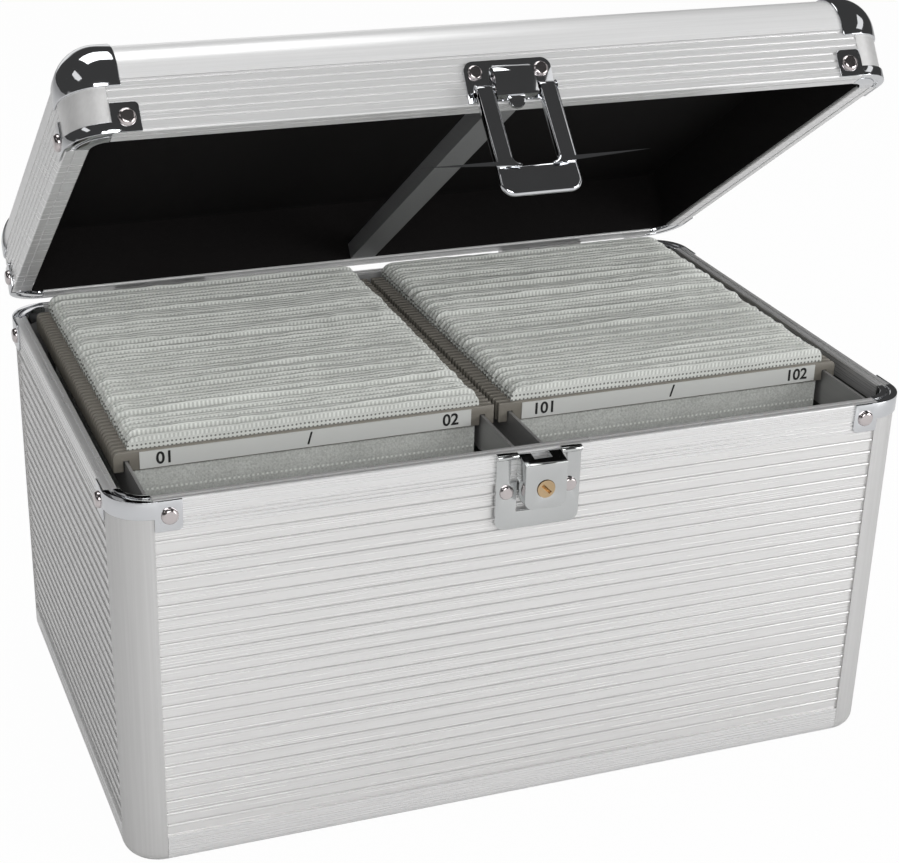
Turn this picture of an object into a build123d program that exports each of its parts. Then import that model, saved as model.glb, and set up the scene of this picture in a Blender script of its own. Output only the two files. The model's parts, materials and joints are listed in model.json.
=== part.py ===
from build123d import *
import os

# Storage case for discs in hanging sleeves, with a hinged lid.
# Millimetres. X to the right, Y to the back, Z up.
# The origin is the bottom centre of the case body.
# The lid is modelled shut and is turned open about its hinge when it is saved.

# Overall sizes
case_width = 330.0
case_depth = 214.0
base_height = 159.0
lid_height = 36.5
lid_gap = 0.4
lid_opening = 34.7
corner_radius = 15.0

# Boards with raised ribs
board_thickness = 3.0
rib_pitch = 5.4
rib_radius = 0.8
rib_proud = 0.65
lid_board_thickness = 5.0
floor_thickness = 5.0

# Extrusions that hold the boards
lip_thickness = 1.0
inner_lip_thickness = 1.2
board_tuck = 4.0
board_play = 0.1
trim_height = 13.0
trim_seat = 7.0
trim_round = 6.0
trim_flange_width = 6.0
floor_pad_thickness = 2.2
rim_head = 3.0
rim_skirt = 12.5
rim_inner_skirt = 8.0
rim_edge_round = 0.75
rim_line_pitch = 1.6
rim_line_depth = 0.35
rim_groove_inset = 2.0
rim_groove_width = 1.4
rim_groove_depth = 0.7
lining_thickness = 0.6
lining_play = 0.4

# Chromed castings at the corners
casting_wall = 0.8
casting_plate = 1.2
casting_skirt = 7.0
casting_inner_skirt = 6.0
tab_length = 10.5
tab_height = 12.3
tab_round = 2.0
rivet_radius = 3.3
rivet_height = 1.6
rivet_rim = 0.1
rivet_inset = 5.6
rivet_drop = 6.2
lid_casting_skirt = 4.0
lid_tab_height = 11.0
lid_rivet_lift = 5.3

# Lid
lid_wall_top = 21.3
lid_wall_foot = 3.0
lid_wall_thickness = 7.0
lid_foot_width = 9.0
lid_inner_lip_height = 8.0
lid_line_inset = 3.3
lid_line_width = 0.7
lid_line_depth = 0.6
lid_groove_pitch = 2.9
lid_groove_count = 6
lid_groove_radius = 0.55
edge_trim_bottom = 19.6
edge_trim_wall = 1.6
edge_lip_width = 5.0
edge_web_thickness = 1.2
ball_wrap = 5.5
ball_skirt = 4.5
lid_lining_round = 4.0
lid_lining_hem = 1.2
hold_down_width = 12.0
hold_down_height = 7.0
hold_down_lift = 1.2

# Hanger rails
rail_thickness = 1.2
rail_height = 15.0
rail_drop = 2.8
rail_inset = 5.0
rail_foot = 8.0

# Sleeves
sleeve_pitch = 3.17
hanger_thickness = 1.6
hanger_height = 8.2
hanger_top = 1.2
hanger_notch_play = 0.5
hanger_seat_play = 0.3
column_centre_gap = 2.0
column_wall_gap = 4.9
front_space = 42.0
back_space = 13.5
pocket_thickness = 1.2
pocket_depth = 138.0
pocket_flap_top = 7.5
pocket_flap_inset = 5.2
pocket_corner = 6.0
pocket_rail_gap = 1.8
pocket_play = 0.15
label_length = 134.5
label_height = 7.0
label_thickness = 0.4

# Lock on the front of the body
lock_plate_width = 35.0
lock_plate_height = 32.0
lock_plate_thickness = 1.5
lock_plate_round = 4.0
lock_window_bottom = 24.8
lock_window_step = 12.0
lock_window_outer = 11.8
lock_lip_radius = 1.2
lock_body_width = 17.2
lock_body_depth = 9.0
lock_body_top = 0.8
lock_body_bottom = 21.2
lock_body_round = 4.0
lock_ramp_height = 1.6
lock_play = 0.4
lock_rivet_span = 26.4
lock_rivet_drop = 16.0
lock_rivet_radius = 2.9
lock_rivet_height = 1.2
key_radius = 3.6
key_drop = 12.9
key_length = 7.0
key_proud = 0.3
key_play = 0.06
keyway_length = 5.0
keyway_width = 1.3
keyway_depth = 4.0
keyway_turn = 45.0
catch_thickness = 1.2
catch_width = 11.6
catch_top = 8.0
catch_bar = 4.0
catch_lift = 0.4

# Latch on the front of the lid
latch_plate_width = 35.0
latch_plate_bottom = 0.6
latch_plate_top = 16.5
latch_plate_thickness = 1.2
latch_plate_round = 4.0
latch_cover_width = 17.2
latch_cover_crown = 14.8
latch_cover_round = 2.5
latch_cover_bottom = 1.0
latch_cover_top = 14.4
latch_cover_shoulder = 8.0
latch_cover_depth = 6.6
latch_axle_height = 3.5
loop_back = 3.0
latch_axle_radius = 1.1
loop_width = 32.0
loop_bottom = 39.6
loop_window_bottom = 27.8
loop_stand_off = 10.5
loop_arm_depth = 4.0
loop_plate_depth = 2.6
loop_round = 5.0
loop_window_round = 3.0
latch_rivet_height = 12.0
locating_tab_width = 6.5
locating_tab_thickness = 1.6
locating_tab_reach = 3.2
locating_tab_bottom = 3.6

# Hinges at the back
hinge_radius = 2.5
hinge_pin_radius = 1.5
hinge_pin_play = 0.05
hinge_clear = 0.4
hinge_length = 42.0
hinge_span = 190.0
hinge_leaf_height = 20.0
hinge_leaf_thickness = 1.2
hinge_knuckle_gap = 0.4
hinge_rivet_span = 26.0
hinge_rivet_radius = 2.6
hinge_rivet_height = 0.8
hinge_rivet_drop = 12.4

# Handle on top of the lid
handle_span = 104.0
handle_bar_radius = 2.5
handle_bend = 5.0
handle_reach = 26.0
handle_height = 5.6
handle_bracket_length = 9.0
handle_bracket_width = 13.0
handle_grip_length = 78.0
handle_grip_width = 17.0
handle_grip_height = 9.0
handle_play = 0.3
handle_eye_wall = 1.6

# Sizes that follow from the ones above
side_names = ["front", "right", "back", "left"]
outward = {"front": Vector(0, -1, 0), "right": Vector(1, 0, 0),
           "back": Vector(0, 1, 0), "left": Vector(-1, 0, 0)}
along = {"front": Vector(1, 0, 0), "right": Vector(0, 1, 0),
         "back": Vector(-1, 0, 0), "left": Vector(0, -1, 0)}
wall_length = {"front": case_width, "right": case_depth, "back": case_width, "left": case_depth}
wall_reach = {"front": case_depth / 2, "right": case_width / 2,
              "back": case_depth / 2, "left": case_width / 2}
board_inner = lip_thickness + board_thickness
frame_inner = board_inner + board_play + inner_lip_thickness
lining_inner = board_inner + lining_thickness
lid_bottom = base_height + lid_gap
hinge_y = case_depth / 2 + hinge_radius + hinge_clear
hinge_z = base_height + lid_gap / 2
hinge_axis = Axis((0, hinge_y, hinge_z), (-1, 0, 0))
front_face = -case_depth / 2
foot_width = frame_inner - board_play
lid_casting_inner = lid_foot_width - casting_wall
latch_axle_reach = loop_back + loop_arm_depth / 2


def wall_plane(side, position, height=0.0):
    """Plane across one wall: local x points into the case, local y up, and its normal along the wall."""
    origin = outward[side] * wall_reach[side] + along[side] * position + Vector(0, 0, height)
    return Plane(origin=origin, x_dir=-outward[side], z_dir=along[side])


def face_plane(side, height, setback=0.0):
    """Plane on one wall's outer face: local x along the wall, local y up, and its normal outward."""
    origin = outward[side] * (wall_reach[side] - setback) + Vector(0, 0, height)
    return Plane(origin=origin, x_dir=along[side], z_dir=outward[side])


def next_side(side):
    """The wall that follows this one, going round the case from the front to the right."""
    return side_names[(side_names.index(side) + 1) % 4]


def straight_length(side):
    """Length of a wall between the two corner radii."""
    return wall_length[side] - 2 * corner_radius


def corner_axis(side):
    """Upright axis of the corner that ends this wall, going round the case from the front to the right."""
    centre = outward[side] * (wall_reach[side] - corner_radius) + along[side] * (straight_length(side) / 2)
    return Axis(centre, (0, 0, 1))


def box_section(x_low, x_high, y_low, y_high, mode=Mode.ADD):
    """Rectangle given by its edges."""
    with Locations(((x_low + x_high) / 2, (y_low + y_high) / 2)):
        Rectangle(x_high - x_low, y_high - y_low, mode=mode)


def upright(level, direction, reach):
    """Lower and upper edge of something that reaches up (+1) or down (-1) from a level."""
    return sorted((level, level + direction * reach))


def save(builder, name, on_lid=False):
    """Write one finished piece, turned open with the lid where it is carried by the lid."""
    if on_lid:
        builder.part = builder.part.rotate(hinge_axis, lid_opening)
    builder.part.label = name
    export_step(builder.part, f"parts/{name}.step")


os.makedirs("parts", exist_ok=True)

# Base floor board, flush with the bottom trims and held under their flanges
with BuildPart() as base_floor:
    with BuildSketch(Plane.XY):
        RectangleRounded(case_width - 2 * frame_inner, case_depth - 2 * frame_inner,
                         corner_radius - frame_inner)
    extrude(amount=floor_thickness)
save(base_floor, "base_floor")


# Ribbed boards of the base: plain edges tucked into the extrusions, ribs between them
board_top = base_height - rim_head - 2 * board_play
rib_zone_bottom = trim_height
rib_zone_top = base_height - rim_skirt
rib_count = int((rib_zone_top - rib_zone_bottom) / rib_pitch)


def ribbed_board(side):
    board_length = straight_length(side) + 2 * (board_tuck - board_play)
    rib_length = straight_length(side) - 2 * board_play
    with BuildPart() as board:
        with BuildSketch(wall_plane(side, -board_length / 2)):
            box_section(lip_thickness, board_inner, trim_seat, board_top)
        extrude(amount=board_length)
        with BuildSketch(wall_plane(side, -rib_length / 2)):
            with Locations((lip_thickness + rib_radius - rib_proud, (rib_zone_bottom + rib_zone_top) / 2)):
                with GridLocations(0, rib_pitch, 1, rib_count):
                    Circle(rib_radius)
        extrude(amount=rib_length)
    return board


for side in side_names:
    save(ribbed_board(side), f"base_{side}_board")


def board_channels(side, bottom, top):
    """Space in a corner piece for the tucked edges of the two boards that meet there."""
    with BuildPart() as channels:
        for channel_side, end in ((side, 1), (next_side(side), -1)):
            channel_start = end * straight_length(channel_side) / 2
            channel_end = channel_start + end * board_tuck
            with BuildSketch(wall_plane(channel_side, min(channel_start, channel_end))):
                box_section(lip_thickness, board_inner + board_play, bottom, top)
            extrude(amount=board_tuck)
    return channels.part


# Upright corner posts: a quarter round with channels that take the board edges
def corner_post(side):
    with BuildPart() as post:
        with BuildSketch(wall_plane(side, straight_length(side) / 2)):
            box_section(0, frame_inner, trim_height, base_height - casting_plate - board_play)
        revolve(axis=corner_axis(side), revolution_arc=90)
        add(board_channels(side, trim_height, base_height), mode=Mode.SUBTRACT)
    return post


corner_names = {"front": "front_right", "right": "back_right", "back": "back_left", "left": "front_left"}
for side in side_names:
    save(corner_post(side), f"base_post_{corner_names[side]}")


# Bottom trims: a rounded foot under each board, with a lip outside it and a flange over the floor
def foot_sketch(plane):
    """Foot section, from the outer face to the end of the flange over the floor."""
    flange_end = foot_width + trim_flange_width
    with BuildSketch(plane) as section:
        with BuildLine():
            Polyline((trim_round, 0), (foot_width, 0), (foot_width, floor_thickness),
                     (flange_end, floor_thickness), (flange_end, trim_seat), (lip_thickness, trim_seat),
                     (lip_thickness, trim_height), (0, trim_height), (0, trim_round))
            RadiusArc((0, trim_round), (trim_round, 0), -trim_round)
        make_face()
    return section.sketch


for side in side_names:
    length = straight_length(side) - 2 * board_play
    with BuildPart() as bottom_trim:
        extrude(foot_sketch(wall_plane(side, -length / 2)), amount=length)
    save(bottom_trim, f"base_trim_{side}")

# Bottom corner caps: the rounded foot carried round each corner, under the posts
with BuildPart() as bottom_corners:
    for side in side_names:
        start_plane = wall_plane(side, straight_length(side) / 2)
        revolve(foot_sketch(start_plane), axis=corner_axis(side), revolution_arc=90)
        with BuildSketch(start_plane):
            box_section(0, foot_width, trim_seat, trim_height)
        revolve(axis=corner_axis(side), revolution_arc=90)
    for side in side_names:
        add(board_channels(side, trim_seat, trim_height), mode=Mode.SUBTRACT)
save(bottom_corners, "base_bottom_corners")


# Rim extrusions that cap the boards, with a groove along the top and fine lines along the outer skirt
for side in side_names:
    length = straight_length(side) - 2 * board_play
    with BuildPart() as base_rim:
        with BuildSketch(wall_plane(side, -length / 2)) as section:
            box_section(0, frame_inner, base_height - rim_head, base_height)
            fillet(section.vertices().group_by(Axis.Y)[-1], rim_edge_round)
            box_section(rim_groove_inset, rim_groove_inset + rim_groove_width,
                        base_height - rim_groove_depth, base_height, mode=Mode.SUBTRACT)
            box_section(0, lip_thickness, base_height - rim_skirt, base_height - rim_head)
            box_section(frame_inner - inner_lip_thickness, frame_inner, base_height - rim_inner_skirt,
                        base_height - rim_head)
            with Locations((0, base_height - rim_skirt + 2 * rim_line_pitch)):
                with GridLocations(0, rim_line_pitch, 1, 3):
                    Circle(rim_line_depth, mode=Mode.SUBTRACT)
        extrude(amount=length)
    save(base_rim, f"base_rim_{side}")


# Chromed rim castings: a channel round the corner, with a riveted tab on both walls
rivet_shank = rivet_radius / 2


def casting_tab(side, end, level, direction, height, rivet_reach):
    """Tab on one wall, beside the corner at that end. Direction is +1 where it stands up from the level."""
    seam = end * straight_length(side) / 2
    with BuildPart() as tab:
        with BuildSketch(face_plane(side, level)) as outline:
            box_section(*sorted((seam, seam - end * tab_length)), *upright(0, direction, height))
            far_corner = outline.vertices().sort_by(Axis.Y, reverse=direction < 0)[-2:].sort_by(Axis.X)
            fillet(far_corner[0 if end > 0 else -1], tab_round)
            with Locations((seam - end * rivet_inset, direction * rivet_reach)):
                Circle(rivet_shank, mode=Mode.SUBTRACT)
        extrude(amount=casting_wall)
    return tab.part


def casting_ring(side, level, direction, inner, skirt, inner_skirt):
    """Channel round one corner: a grooved plate on the level, and skirts outside and inside."""
    with BuildPart() as ring:
        with BuildSketch(wall_plane(side, straight_length(side) / 2)):
            box_section(-casting_wall, inner + casting_wall, *upright(level, direction, casting_plate))
            box_section(rim_groove_inset, rim_groove_inset + rim_groove_width,
                        *upright(level, direction, rim_groove_depth), mode=Mode.SUBTRACT)
            box_section(-casting_wall, 0, *upright(level, direction, skirt))
            box_section(inner, inner + casting_wall, *upright(level, direction, inner_skirt))
        revolve(axis=corner_axis(side), revolution_arc=90)
    return ring.part


with BuildPart() as base_castings:
    for side in side_names:
        add(casting_ring(side, base_height, -1, frame_inner, casting_skirt, casting_inner_skirt))
        add(casting_tab(side, 1, base_height, -1, tab_height, rivet_drop))
        add(casting_tab(next_side(side), -1, base_height, -1, tab_height, rivet_drop))
save(base_castings, "base_rim_corners")
with BuildPart() as lid_castings:
    for side in side_names:
        add(casting_ring(side, lid_bottom, 1, lid_casting_inner, lid_casting_skirt, lid_casting_skirt))
        add(casting_tab(side, 1, lid_bottom, 1, lid_tab_height, lid_rivet_lift))
        add(casting_tab(next_side(side), -1, lid_bottom, 1, lid_tab_height, lid_rivet_lift))
save(lid_castings, "lid_rim_corners", on_lid=True)


# Domed rivets, each with a short shank in its hole
def rivet_shape(radius, height, shank_radius, shank_length):
    with BuildPart() as rivet:
        Cylinder(radius, height, align=(Align.CENTER, Align.CENTER, Align.MIN))
        fillet(rivet.edges().group_by(Axis.Z)[-1], height - rivet_rim)
        Cylinder(shank_radius, shank_length, align=(Align.CENTER, Align.CENTER, Align.MAX))
    return rivet.part


def corner_rivets(level):
    """Places of the rivets at one level on the tabs of the castings."""
    places = []
    for side in side_names:
        for end in (-1, 1):
            along_wall = end * (straight_length(side) / 2 - rivet_inset)
            face = face_plane(side, level, -casting_wall)
            places.append(Plane(origin=face.origin + along[side] * along_wall, x_dir=along[side],
                                z_dir=outward[side]))
    return places


def rivet_group(sets):
    with BuildPart() as group:
        for places, shape in sets:
            for place in places:
                with Locations(place.location):
                    add(shape)
    return group


tab_rivet = rivet_shape(rivet_radius, rivet_height, rivet_shank - board_play, casting_wall)
lock_rivet_shank = lock_rivet_radius / 2
lock_rivet = rivet_shape(lock_rivet_radius, lock_rivet_height, lock_rivet_shank - board_play,
                         latch_plate_thickness)
hinge_rivet_shank = hinge_rivet_radius / 2
hinge_rivet = rivet_shape(hinge_rivet_radius, hinge_rivet_height, hinge_rivet_shank - board_play,
                          hinge_leaf_thickness)


def front_places(height, span, proud):
    face = face_plane("front", height, -proud)
    return [Plane(origin=face.origin + Vector(end * span / 2, 0, 0), x_dir=(1, 0, 0), z_dir=(0, -1, 0))
            for end in (-1, 1)]


def hinge_places(height, proud):
    face = face_plane("back", height, -proud)
    return [Plane(origin=face.origin + Vector(hinge * hinge_span / 2 + end * hinge_rivet_span / 2, 0, 0),
                  x_dir=(-1, 0, 0), z_dir=(0, 1, 0)) for hinge in (-1, 1) for end in (-1, 1)]


base_rivets = rivet_group([
    (corner_rivets(base_height - rivet_drop), tab_rivet),
    (front_places(base_height - lock_rivet_drop, lock_rivet_span, lock_plate_thickness), lock_rivet),
    (hinge_places(hinge_z - hinge_rivet_drop, hinge_leaf_thickness), hinge_rivet)])
save(base_rivets, "base_rivets")
lid_rivets = rivet_group([
    (corner_rivets(lid_bottom + lid_rivet_lift), tab_rivet),
    (front_places(lid_bottom + latch_rivet_height, lock_rivet_span, latch_plate_thickness), lock_rivet),
    (hinge_places(hinge_z + hinge_rivet_drop, hinge_leaf_thickness), hinge_rivet)])
save(lid_rivets, "lid_rivets", on_lid=True)


# Inner lining of the base: a sheet on each board, and a pad on the floor inside the flanges
pad_inset = foot_width + trim_flange_width + lining_play
with BuildPart() as base_lining:
    with BuildSketch(Plane.XY.offset(floor_thickness)):
        RectangleRounded(case_width - 2 * pad_inset, case_depth - 2 * pad_inset, corner_radius - pad_inset)
    extrude(amount=floor_pad_thickness)
    for side in side_names:
        length = straight_length(side) - 2 * lining_play
        with BuildSketch(wall_plane(side, -length / 2)):
            box_section(board_inner, lining_inner, trim_seat, base_height - rim_inner_skirt - board_play)
        extrude(amount=length)
save(base_lining, "base_lining")

# Hanger rails: thin upright strips from the front wall to the back wall, with a foot at each end
rail_top = base_height - rail_drop
rail_bottom = rail_top - rail_height
hanger_inner_end = column_centre_gap / 2
hanger_outer_end = case_width / 2 - lining_inner - column_wall_gap
centre_rail_x = hanger_inner_end + rail_inset
side_rail_x = hanger_outer_end - rail_inset
rail_end = case_depth / 2 - frame_inner - casting_wall - lining_play
rail_foot_end = case_depth / 2 - frame_inner
rail_foot_top = base_height - casting_inner_skirt - lining_play


def rail_feet(x_low, x_high):
    """Plates at both ends of a rail, standing against the front and back rims."""
    with BuildPart() as feet:
        with BuildSketch(Plane.XY.offset(rail_bottom)):
            for end in (-1, 1):
                box_section(x_low, x_high, *sorted((end * rail_foot_end, end * (rail_end - rail_thickness))))
        extrude(amount=rail_foot_top - rail_bottom)
    return feet.part


for name, direction in (("left", -1), ("right", 1)):
    x = direction * side_rail_x
    with BuildPart() as side_rail:
        with BuildSketch(Plane.XY.offset(rail_bottom)):
            box_section(x - rail_thickness / 2, x + rail_thickness / 2, -rail_end, rail_end)
        extrude(amount=rail_height)
        add(rail_feet(*sorted((x - direction * rail_thickness / 2, x - direction * rail_foot))))
    save(side_rail, f"hanger_rail_{name}")
with BuildPart() as centre_rail:
    with BuildSketch(Plane.XY.offset(rail_bottom)):
        for x in (-centre_rail_x, centre_rail_x):
            box_section(x - rail_thickness / 2, x + rail_thickness / 2, -rail_end, rail_end)
    extrude(amount=rail_height)
    with BuildSketch(Plane.XY.offset(rail_bottom)):
        box_section(-centre_rail_x, centre_rail_x, -rail_end, rail_end)
    extrude(amount=rail_thickness)
    add(rail_feet(-centre_rail_x - rail_thickness / 2, centre_rail_x + rail_thickness / 2))
save(centre_rail, "hanger_rail_centre")


# Hanging sleeves: a notched bar that sits on two rails, and a soft pocket behind it
hanger_bottom = base_height + hanger_top - hanger_height
notch_width = rail_thickness + 2 * hanger_notch_play
sleeve_thickness = hanger_thickness + pocket_play + pocket_thickness
stack_depth = case_depth - front_space - back_space - sleeve_thickness
sleeve_count = int(stack_depth / sleeve_pitch) + 1
first_sleeve_y = front_face + front_space
stack_places = [(0, place * sleeve_pitch, 0) for place in range(1, sleeve_count)]
flap_bottom = rail_top + pocket_rail_gap
flap_top = base_height + pocket_flap_top


def sleeve_bar(direction):
    """Bar with a notch over each rail. Direction is -1 in the left column and +1 in the right one."""
    with BuildPart() as bar:
        with BuildSketch(Plane.XZ.offset(-first_sleeve_y)):
            box_section(*sorted((direction * hanger_inner_end, direction * hanger_outer_end)),
                        hanger_bottom, base_height + hanger_top)
            for x in (direction * centre_rail_x, direction * side_rail_x):
                box_section(x - notch_width / 2, x + notch_width / 2, hanger_bottom,
                            rail_top + hanger_seat_play, mode=Mode.SUBTRACT)
        extrude(amount=-hanger_thickness)
    return bar


def sleeve_pocket(direction):
    """Soft pocket: a rounded flap that stands above the bar, and the bag between the rails."""
    flap_span = (hanger_inner_end + pocket_flap_inset, hanger_outer_end - pocket_flap_inset)
    bag_inset = rail_thickness / 2 + pocket_rail_gap
    bag_span = (centre_rail_x + bag_inset, side_rail_x - bag_inset)
    with BuildPart() as pocket:
        with BuildSketch(Plane.XZ.offset(-first_sleeve_y - hanger_thickness - pocket_play)) as outline:
            box_section(*sorted(direction * x for x in flap_span), flap_bottom, flap_top)
            fillet(outline.vertices().group_by(Axis.Y)[-1], pocket_corner)
            box_section(*sorted(direction * x for x in bag_span), flap_top - pocket_depth, flap_bottom)
        extrude(amount=-pocket_thickness)
    return pocket


for column, direction in (("left", -1), ("right", 1)):
    front_bar = sleeve_bar(direction)
    front_pocket = sleeve_pocket(direction)
    save(front_bar, f"sleeve_{column}_front_bar")
    save(front_pocket, f"sleeve_{column}_front_pocket")
    label_middle = direction * (hanger_inner_end + hanger_outer_end) / 2
    label_bottom = hanger_bottom + (hanger_height - label_height) / 2
    with BuildPart() as label:
        with BuildSketch(Plane.XZ.offset(-first_sleeve_y)):
            box_section(label_middle - label_length / 2, label_middle + label_length / 2, label_bottom,
                        label_bottom + label_height)
        extrude(amount=label_thickness)
    save(label, f"sleeve_{column}_front_label")
    with BuildPart() as bars:
        with Locations(stack_places):
            add(front_bar.part)
    save(bars, f"sleeve_{column}_bars")
    with BuildPart() as pockets:
        with Locations(stack_places):
            add(front_pocket.part)
    save(pockets, f"sleeve_{column}_pockets")


# Lock plate: a window round the lock body, a rolled lip on each side of it, and pads under the rim
lock_window_inner = lock_body_width / 2 + lock_play
with BuildPart() as lock_plate:
    with BuildSketch(face_plane("front", base_height)) as plate:
        box_section(-lock_plate_width / 2, lock_plate_width / 2, -lock_plate_height, 0)
        fillet(plate.vertices().group_by(Axis.Y)[0], lock_plate_round)
        box_section(-lock_window_inner, lock_window_inner, -lock_window_bottom, 0, mode=Mode.SUBTRACT)
        box_section(-lock_window_outer, lock_window_outer, -lock_window_step, -2 * lock_lip_radius,
                    mode=Mode.SUBTRACT)
        with Locations((0, -lock_rivet_drop)):
            with GridLocations(lock_rivet_span, 0, 2, 1):
                Circle(lock_rivet_shank, mode=Mode.SUBTRACT)
    extrude(amount=lock_plate_thickness)
    for end in (-1, 1):
        lip_start = min(end * lock_window_inner, end * lock_plate_width / 2)
        with BuildSketch(wall_plane("front", lip_start, base_height - lock_lip_radius)):
            with Locations((-lock_plate_thickness, 0)):
                Circle(lock_lip_radius)
        extrude(amount=lock_plate_width / 2 - lock_window_inner)
    pad_outer = lock_plate_width / 2 - lock_plate_round
    with BuildSketch(face_plane("front", base_height)):
        for end in (-1, 1):
            box_section(*sorted((end * lock_window_inner, end * pad_outer)),
                        -lock_plate_height + lock_plate_round, -rim_skirt - lock_play)
        with Locations((0, -lock_rivet_drop)):
            with GridLocations(lock_rivet_span, 0, 2, 1):
                Circle(lock_rivet_shank, mode=Mode.SUBTRACT)
    extrude(amount=rib_proud - lip_thickness)
save(lock_plate, "lock_plate")


# Lock body: a sloping top that pushes the latch loop out as the lid shuts, bores for the key and the catch
catch_back = loop_back + loop_plate_depth + lock_play
with BuildPart() as lock_body:
    with BuildSketch(face_plane("front", base_height)) as outline:
        box_section(-lock_body_width / 2, lock_body_width / 2, -lock_body_bottom, -lock_body_top)
        fillet(outline.vertices().group_by(Axis.Y)[0], lock_body_round)
    extrude(amount=lock_body_depth)
    with BuildSketch(wall_plane("front", -lock_body_width, base_height)):
        with BuildLine():
            Polyline((-lock_plate_thickness - lock_play, -lock_body_top), (-lock_body_depth, -lock_body_top),
                     (-lock_body_depth, -lock_body_top - lock_ramp_height),
                     (-lock_plate_thickness - lock_play, -lock_body_top), close=True)
        make_face()
    extrude(amount=2 * lock_body_width, mode=Mode.SUBTRACT)
    tab_slot = locating_tab_width / 2 + lock_play
    with BuildSketch(face_plane("front", base_height - lock_body_top, lip_thickness)):
        box_section(-tab_slot, tab_slot, -locating_tab_bottom, lock_body_top)
    extrude(amount=lip_thickness + locating_tab_reach + locating_tab_thickness + lock_play,
            mode=Mode.SUBTRACT)
    with BuildSketch(face_plane("front", base_height - key_drop, -lock_body_depth)):
        Circle(key_radius + key_play)
    extrude(amount=-key_length - lock_play, mode=Mode.SUBTRACT)
    with BuildSketch(face_plane("front", base_height, -catch_back + lock_play / 2)):
        slot = catch_width / 2 + lock_play / 2
        box_section(-slot, slot, -lock_body_bottom, -catch_top + lock_play)
    extrude(amount=catch_thickness + lock_play, mode=Mode.SUBTRACT)
save(lock_body, "lock_body")


# Key cylinder, flush with the lock body, with its keyway
with BuildPart() as key_cylinder:
    with BuildSketch(face_plane("front", base_height - key_drop, -lock_body_depth - key_proud)):
        Circle(key_radius)
    extrude(amount=-key_length - key_proud)
    with BuildSketch(face_plane("front", base_height - key_drop, -lock_body_depth - key_proud)):
        Rectangle(keyway_width, keyway_length, rotation=keyway_turn)
    extrude(amount=-keyway_depth, mode=Mode.SUBTRACT)
save(key_cylinder, "lock_key_cylinder")


# Catch inside the lock body: a fork round the key cylinder that slides down in front of the latch loop
with BuildPart() as lock_catch:
    with BuildSketch(face_plane("front", base_height, -catch_back)):
        catch_bottom = -lock_body_bottom + catch_lift
        box_section(-catch_width / 2, catch_width / 2, catch_bottom, -catch_top)
        fork = key_radius + key_play + lock_play
        box_section(-fork, fork, catch_bottom + catch_bar, -catch_top, mode=Mode.SUBTRACT)
    extrude(amount=catch_thickness)
save(lock_catch, "lock_catch")


# Lid walls: grooved extrusions with a wide foot, a line under it, and an upstand that holds the lining
for side in side_names:
    length = straight_length(side) - 2 * board_play
    with BuildPart() as lid_wall:
        with BuildSketch(wall_plane(side, -length / 2, lid_bottom)) as section:
            box_section(0, lid_foot_width, 0, lid_wall_foot)
            fillet(section.vertices().group_by(Axis.Y)[0], rim_edge_round)
            box_section(0, lid_wall_thickness, lid_wall_foot, edge_trim_bottom - board_play)
            box_section(lip_thickness + board_play, lid_wall_thickness, edge_trim_bottom - board_play,
                        lid_wall_top)
            box_section(lid_foot_width - inner_lip_thickness, lid_foot_width, lid_wall_foot,
                        lid_inner_lip_height)
            box_section(lid_line_inset, lid_line_inset + lid_line_width, 0, lid_line_depth,
                        mode=Mode.SUBTRACT)
            with Locations((0, (lid_wall_foot + edge_trim_bottom) / 2)):
                with GridLocations(0, lid_groove_pitch, 1, lid_groove_count):
                    Circle(lid_groove_radius, mode=Mode.SUBTRACT)
        extrude(amount=length)
    save(lid_wall, f"lid_wall_{side}", on_lid=True)

# Rounded edge trims along the top of the lid walls, which also carry the top board
arc_height = lid_height - corner_radius
shelf_top = lid_height - lip_thickness - lid_board_thickness - board_play


def edge_round(outer, inner):
    """Quarter ring about the corner of the lid's section."""
    with Locations((corner_radius, arc_height)):
        Circle(outer)
        if inner > 0:
            Circle(inner, mode=Mode.SUBTRACT)
    box_section(corner_radius - outer, corner_radius, arc_height, arc_height + outer, mode=Mode.INTERSECT)


def edge_trim(side):
    """Trim on one wall: the round, a lip over the wall, a web, a shelf under the board and a lip over it."""
    half = straight_length(side) / 2 - board_play
    inner_edge = corner_radius + edge_lip_width
    web = lid_wall_thickness + board_play
    corners = [(-half, 0), (half, 0), (half, corner_radius), (half - edge_lip_width, inner_edge),
               (edge_lip_width - half, inner_edge), (-half, corner_radius)]
    with BuildPart() as trim:
        with BuildSketch(wall_plane(side, -half, lid_bottom)):
            edge_round(corner_radius, corner_radius - edge_trim_wall)
            box_section(0, lip_thickness, edge_trim_bottom, arc_height)
            box_section(corner_radius, inner_edge, lid_height - lip_thickness, lid_height)
            box_section(2 * edge_trim_wall, inner_edge, shelf_top - edge_trim_wall, shelf_top)
            box_section(web, web + edge_web_thickness, edge_trim_bottom, shelf_top)
        extrude(amount=2 * half)
        with BuildSketch(Plane.XY.offset(lid_bottom)):
            with BuildLine():
                Polyline([outward[side] * (wall_reach[side] - inward) + along[side] * position
                          for position, inward in corners], close=True)
            make_face()
        extrude(amount=lid_height, mode=Mode.INTERSECT)
    return trim.part


with BuildPart() as edge_trims:
    for side in side_names:
        add(edge_trim(side))
save(edge_trims, "lid_edge_trims", on_lid=True)

# Lid corner posts: an upright quarter round that closes over as a dome under the ball corner
with BuildPart() as lid_posts:
    for side in side_names:
        with BuildSketch(wall_plane(side, straight_length(side) / 2, lid_bottom)):
            edge_round(corner_radius, corner_radius - 2 * edge_trim_wall)
            box_section(0, 2 * edge_trim_wall, casting_plate + board_play, arc_height)
            box_section(0, lid_casting_inner, casting_plate + board_play, lid_wall_foot)
        revolve(axis=corner_axis(side), revolution_arc=90)
save(lid_posts, "lid_posts", on_lid=True)

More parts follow.
